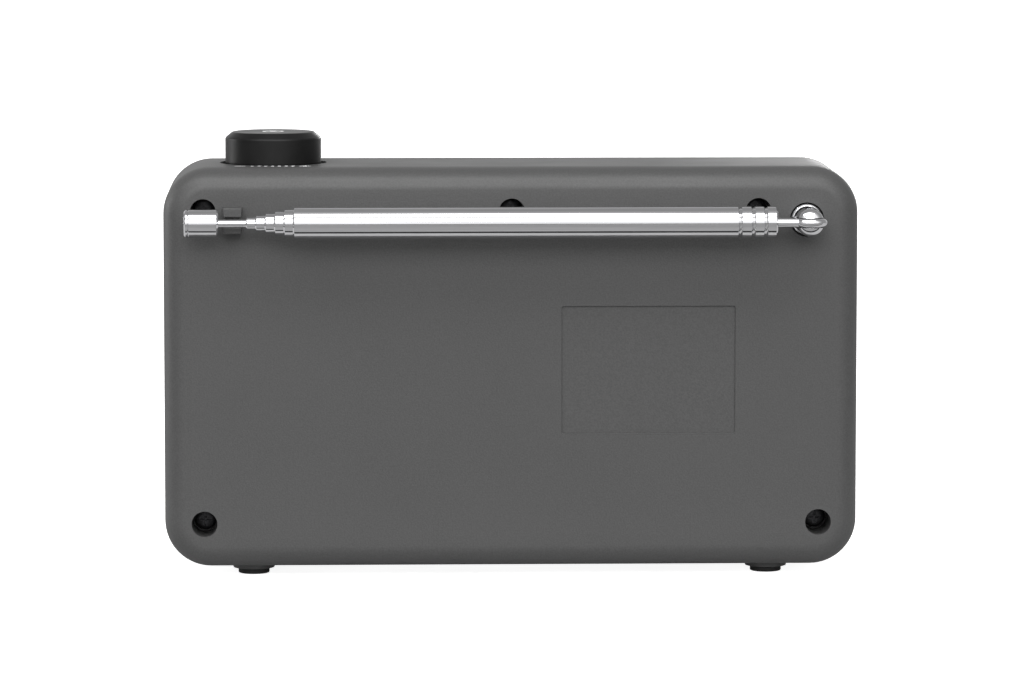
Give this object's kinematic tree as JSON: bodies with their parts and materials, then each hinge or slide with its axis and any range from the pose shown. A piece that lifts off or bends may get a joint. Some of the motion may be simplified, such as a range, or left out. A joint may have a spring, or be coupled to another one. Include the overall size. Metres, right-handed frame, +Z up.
{
  "type": "portable radio",
  "caption": "Portable tabletop radio: a two-part moulded case with a push-and-turn knob on top, speaker grille, display and keys at the front, and a telescopic aerial on a swivel at the back.",
  "frame": {"origin": "on the surface the radio stands on, under the middle of its bounding box", "axes": "+Z up; +Y towards the back, where the aerial is; +X to the right seen from the front, the side the knob is on"},
  "size_m": [0.175, 0.0572, 0.1117],
  "materials": {
    "case_plastic": "fine-textured charcoal grey moulded plastic",
    "control_plastic": "satin black moulded plastic",
    "window_plastic": "polished black",
    "foot_rubber": "matt black rubber",
    "aerial_chrome": "bright chrome plate",
    "plated_steel": "zinc-plated steel",
    "board": "green solder mask",
    "magnet": "dull ferrite grey",
    "cone_paper": "matt black paper",
    "foam": "closed-cell foam",
    "cell": "blue shrink sleeve over a metal can",
    "wire_red": "insulated wire",
    "wire_black": "insulated wire"
  },
  "bodies": {
    "case": {"front_cabinet": "case_plastic", "rear_cover": "case_plastic", "case_screw_lower_right": "plated_steel", "case_screw_lower_left": "plated_steel", "case_screw_upper_right": "plated_steel", "case_screw_upper_left": "plated_steel", "case_screw_upper_middle": "plated_steel", "foot_ring_rear_right": "case_plastic", "foot_pad_rear_right": "foot_rubber", "foot_ring_rear_left": "case_plastic", "foot_pad_rear_left": "foot_rubber", "foot_ring_front_right": "case_plastic", "foot_pad_front_right": "foot_rubber", "foot_ring_front_left": "case_plastic", "foot_pad_front_left": "foot_rubber", "encoder_body": "plated_steel", "encoder_board": "board", "speaker_grille": "control_plastic", "speaker_gasket": "foam", "speaker_basket": "plated_steel", "speaker_magnet": "magnet", "display_window": "window_plastic", "display_module": "window_plastic", "button_board": "board", "main_board": "board", "tuner_can": "plated_steel", "usb_socket": "plated_steel", "headphone_socket": "control_plastic", "battery_cell": "cell", "battery_cradle": "control_plastic", "board_screw_lower": "plated_steel", "board_screw_upper": "plated_steel", "speaker_lead": "wire_red", "battery_lead": "wire_red", "aerial_lead": "wire_black", "aerial_washer": "plated_steel", "aerial_lug": "plated_steel"},
    "encoder_plunger": {"encoder_plunger": "control_plastic"},
    "knob": {"knob": "control_plastic", "encoder_shaft": "plated_steel"},
    "cone": {"speaker_cone": "cone_paper"},
    "aerial_swivel": {"aerial_swivel": "aerial_chrome", "aerial_hinge_pin": "plated_steel", "aerial_screw": "plated_steel"},
    "aerial_arm": {"aerial_blade": "aerial_chrome", "aerial_tube_1": "aerial_chrome"},
    "power_button": {"power_button": "control_plastic"},
    "mode_button": {"mode_button": "control_plastic"},
    "menu_button": {"menu_button": "control_plastic"},
    "previous_button": {"previous_button": "control_plastic"},
    "play_button": {"play_button": "control_plastic"},
    "next_button": {"next_button": "control_plastic"},
    "aerial_section_2": {"aerial_tube_2": "aerial_chrome"},
    "aerial_section_3": {"aerial_tube_3": "aerial_chrome"},
    "aerial_section_4": {"aerial_tube_4": "aerial_chrome"},
    "aerial_section_5": {"aerial_tube_5": "aerial_chrome"},
    "aerial_section_6": {"aerial_tube_6": "aerial_chrome"},
    "aerial_section_7": {"aerial_rod": "aerial_chrome", "aerial_tip": "aerial_chrome"}
  },
  "joints": [
    {"name": "knob_push", "type": "slide", "parent": "case", "child": "encoder_plunger", "axis": [0, 0, -1], "range_m": [0, 0.0005], "stiffness_N_per_m": 5000},
    {"name": "knob_turn", "type": "hinge", "parent": "encoder_plunger", "child": "knob", "pos_m": [0.06, -0.0095, 0.1038], "axis": [0, 0, 1], "continuous": true},
    {"name": "cone_travel", "type": "slide", "parent": "case", "child": "cone", "axis": [0, -1, 0], "range_m": [-0.001, 0.001], "stiffness_N_per_m": 1500},
    {"name": "power_press", "type": "slide", "parent": "case", "child": "power_button", "axis": [0, 1, 0], "range_m": [0, 0.0006], "stiffness_N_per_m": 2500},
    {"name": "mode_press", "type": "slide", "parent": "case", "child": "mode_button", "axis": [0, 1, 0], "range_m": [0, 0.0006], "stiffness_N_per_m": 2500},
    {"name": "menu_press", "type": "slide", "parent": "case", "child": "menu_button", "axis": [0, 1, 0], "range_m": [0, 0.0006], "stiffness_N_per_m": 2500},
    {"name": "previous_press", "type": "slide", "parent": "case", "child": "previous_button", "axis": [0, 1, 0], "range_m": [0, 0.0006], "stiffness_N_per_m": 2500},
    {"name": "play_press", "type": "slide", "parent": "case", "child": "play_button", "axis": [0, 1, 0], "range_m": [0, 0.0006], "stiffness_N_per_m": 2500},
    {"name": "next_press", "type": "slide", "parent": "case", "child": "next_button", "axis": [0, 1, 0], "range_m": [0, 0.0006], "stiffness_N_per_m": 2500},
    {"name": "aerial_turn", "type": "hinge", "parent": "case", "child": "aerial_swivel", "pos_m": [-0.0742, 0.02415, 0.0907], "axis": [0, 1, 0], "continuous": true},
    {"name": "aerial_tilt", "type": "hinge", "parent": "aerial_swivel", "child": "aerial_arm", "pos_m": [-0.0742, 0.02415, 0.0907], "axis": [0, 0, 1], "range_deg": [-1.9, 90]},
    {"name": "aerial_slide_2", "type": "slide", "parent": "aerial_arm", "child": "aerial_section_2", "axis": [1, 0, 0], "range_m": [0, 0.095]},
    {"name": "aerial_slide_3", "type": "slide", "parent": "aerial_section_2", "child": "aerial_section_3", "axis": [1, 0, 0], "range_m": [0, 0.095]},
    {"name": "aerial_slide_4", "type": "slide", "parent": "aerial_section_3", "child": "aerial_section_4", "axis": [1, 0, 0], "range_m": [0, 0.095]},
    {"name": "aerial_slide_5", "type": "slide", "parent": "aerial_section_4", "child": "aerial_section_5", "axis": [1, 0, 0], "range_m": [0, 0.095]},
    {"name": "aerial_slide_6", "type": "slide", "parent": "aerial_section_5", "child": "aerial_section_6", "axis": [1, 0, 0], "range_m": [0, 0.095]},
    {"name": "aerial_slide_7", "type": "slide", "parent": "aerial_section_6", "child": "aerial_section_7", "axis": [1, 0, 0], "range_m": [0, 0.095]}
  ]
}
